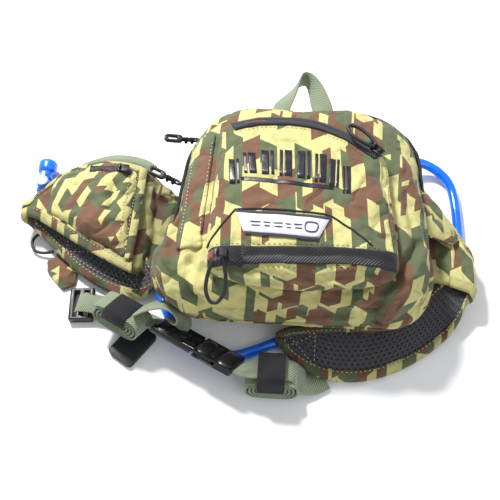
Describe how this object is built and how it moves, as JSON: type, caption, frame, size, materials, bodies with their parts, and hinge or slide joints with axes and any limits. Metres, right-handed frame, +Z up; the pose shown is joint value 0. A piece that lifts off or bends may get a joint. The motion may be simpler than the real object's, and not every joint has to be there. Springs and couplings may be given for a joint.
{
  "type": "hydration pack",
  "caption": "Lumbar hydration pack in camouflage fabric with a padded hip belt, zipped front pocket, webbing straps, side-release buckle and a blue drinking tube round the belt.",
  "frame": {"origin": "on the ground, under the middle of the whole pack, belt included, without the drinking tube and its valve", "axes": "+Z up, out of the front of the pack as it lies on its back; +X to the right across the belt; +Y towards the grab handle"},
  "size_m": [0.424, 0.3214, 0.1123],
  "materials": {
    "camo_fabric": "printed nylon weave",
    "camo_lining": "printed nylon, folded tape",
    "mesh": "knitted spacer mesh",
    "foam": "cut foam behind fabric",
    "zip_tape": "woven zip tape with coil teeth",
    "webbing": "diagonal weave webbing",
    "keeper_tape": "hook and loop tape",
    "hardware": "moulded, glossy",
    "zip_hardware": "moulded, satin",
    "cord": "rubber-coated cord",
    "patch": "woven patch",
    "tube": "clear tinted soft tube",
    "valve_grip": "soft silicone",
    "lever_plastic": "moulded",
    "bag": "welded soft film",
    "cap_plastic": "moulded",
    "board": "stiffened sheet"
  },
  "bodies": {
    "pack": {"back_pads": "mesh", "back_panel": "board", "rear_gusset": "camo_fabric", "bottom_gusset": "camo_fabric", "main_shell": "camo_fabric", "main_zip": "zip_tape", "front_pocket": "camo_fabric", "pocket_divider": "zip_tape", "side_band": "camo_fabric", "name_patch": "patch", "top_zip": "zip_tape", "lower_zip": "zip_tape", "reservoir": "bag", "reservoir_sleeve": "zip_tape", "quick_link": "tube", "inner_tube": "tube", "tube_port": "zip_hardware", "left_root": "camo_fabric", "right_root": "camo_fabric", "right_flap": "camo_fabric"},
    "belt": {"left_wing_shell": "camo_fabric", "left_wing_foam": "foam", "left_wing_mesh": "mesh", "left_wing_binding": "camo_lining", "right_wing_shell": "camo_fabric", "right_wing_foam": "foam", "right_wing_mesh": "mesh", "right_wing_binding": "camo_lining", "wing_pocket": "camo_fabric", "wing_zip": "zip_tape", "cord_loop": "cord", "left_underflap": "camo_fabric", "ladder_lock": "hardware", "left_strands": "webbing", "right_strap": "webbing", "right_roll": "webbing", "right_keeper": "keeper_tape", "buckle_female": "hardware", "drinking_tube": "tube", "valve_elbow": "tube", "bite_valve": "valve_grip"},
    "buckle_half": {"buckle_male": "hardware", "left_loop": "webbing", "left_roll": "webbing", "left_keeper": "keeper_tape"},
    "near_prong": {"prong_near": "hardware"},
    "far_prong": {"prong_far": "hardware"},
    "slider_top": {"main_slider_top": "zip_hardware"},
    "pull_top": {"main_pull_top": "zip_hardware"},
    "slider_side": {"main_slider_side": "zip_hardware"},
    "pull_side": {"main_pull_side": "zip_hardware"},
    "pocket_slider": {"top_slider": "zip_hardware"},
    "pocket_pull": {"top_pull": "cord"},
    "front_slider": {"lower_slider": "zip_hardware"},
    "front_pull": {"lower_pull": "cord"},
    "cap": {"reservoir_cap": "cap_plastic"},
    "handle": {"grab_handle": "webbing"},
    "belt_slider": {"wing_slider": "zip_hardware"},
    "tab": {"magnetic_tab": "hardware"},
    "lever": {"shutoff_lever": "lever_plastic"}
  },
  "joints": [
    {"name": "belt_swing", "type": "hinge", "parent": "pack", "child": "belt", "pos_m": [0.0535, -0.0022, 0.014], "axis": [1, 0, 0], "range_deg": [0, 60], "deforming": ["left_root", "right_root", "right_flap", "drinking_tube"]},
    {"name": "main_slider_top_run", "type": "hinge", "parent": "pack", "child": "slider_top", "pos_m": [0.0115, 0.0518, 0.0399], "axis": [0, 0, 1], "range_deg": [-56, 0]},
    {"name": "main_pull_top_flip", "type": "hinge", "parent": "slider_top", "child": "pull_top", "pos_m": [-0.05126, 0.09101, 0.0409], "axis": [0.5299, 0.848, 0], "range_deg": [-8, 60]},
    {"name": "main_slider_side_run", "type": "slide", "parent": "pack", "child": "slider_side", "axis": [-0.0707, -0.9975, 0], "range_m": [0, 0.055]},
    {"name": "main_pull_side_flip", "type": "hinge", "parent": "slider_side", "child": "pull_side", "pos_m": [-0.06365, 0.03822, 0.0409], "axis": [0.0707, 0.9975, 0], "range_deg": [-8, 60]},
    {"name": "pocket_slider_run", "type": "hinge", "parent": "pack", "child": "pocket_slider", "pos_m": [0.0335, -0.0442, 0.1032], "axis": [0, 0, 1], "range_deg": [0, 66]},
    {"name": "pocket_pull_flip", "type": "hinge", "parent": "pocket_slider", "child": "pocket_pull", "pos_m": [0.1134, 0.03995, 0.109], "axis": [0.7071, 0.7071, 0], "range_deg": [0, 100]},
    {"name": "front_slider_run", "type": "slide", "parent": "pack", "child": "front_slider", "axis": [1, 0, 0], "range_m": [0, 0.13]},
    {"name": "front_pull_flip", "type": "hinge", "parent": "front_slider", "child": "front_pull", "pos_m": [-0.0135, -0.0812, 0.109], "axis": [-1, 0, 0], "range_deg": [0, 100]},
    {"name": "cap_turn", "type": "hinge", "parent": "pack", "child": "cap", "pos_m": [0.0335, 0.0078, 0.05], "axis": [0, 0, 1], "continuous": true},
    {"name": "handle_fold", "type": "hinge", "parent": "pack", "child": "handle", "pos_m": [0.0535, 0.124, 0.0575], "axis": [1, 0, 0], "range_deg": [-40, 24]},
    {"name": "belt_pocket_run", "type": "slide", "parent": "belt", "child": "belt_slider", "axis": [-0.9976, 0.0698, 0], "range_m": [0, 0.024]},
    {"name": "buckle_release", "type": "slide", "parent": "belt", "child": "buckle_half", "axis": [-0.887, 0.4617, 0], "range_m": [0, 0.03], "deforming": ["left_strands"]},
    {"name": "near_prong_squeeze", "type": "hinge", "parent": "buckle_half", "child": "near_prong", "pos_m": [-0.04341, -0.12288, 0.03083], "axis": [0.2968, 0.5702, 0.766], "range_deg": [0, 6], "stiffness_Nm_per_rad": 0.6},
    {"name": "far_prong_squeeze", "type": "hinge", "parent": "buckle_half", "child": "far_prong", "pos_m": [-0.03633, -0.10929, 0.01797], "axis": [0.2968, 0.5702, 0.766], "range_deg": [-6, 0], "stiffness_Nm_per_rad": 0.6},
    {"name": "tab_slide", "type": "slide", "parent": "belt", "child": "tab", "axis": [-0.56, -0.8285, 0], "range_m": [0, 0.035]},
    {"name": "lever_turn", "type": "hinge", "parent": "belt", "child": "lever", "pos_m": [-0.19974, 0.0483, 0.0189], "axis": [0, 0, 1], "range_deg": [0, 90]}
  ],
  "couplings": [
    {"joint": "far_prong_squeeze", "follows": "near_prong_squeeze", "ratio": -1}
  ]
}
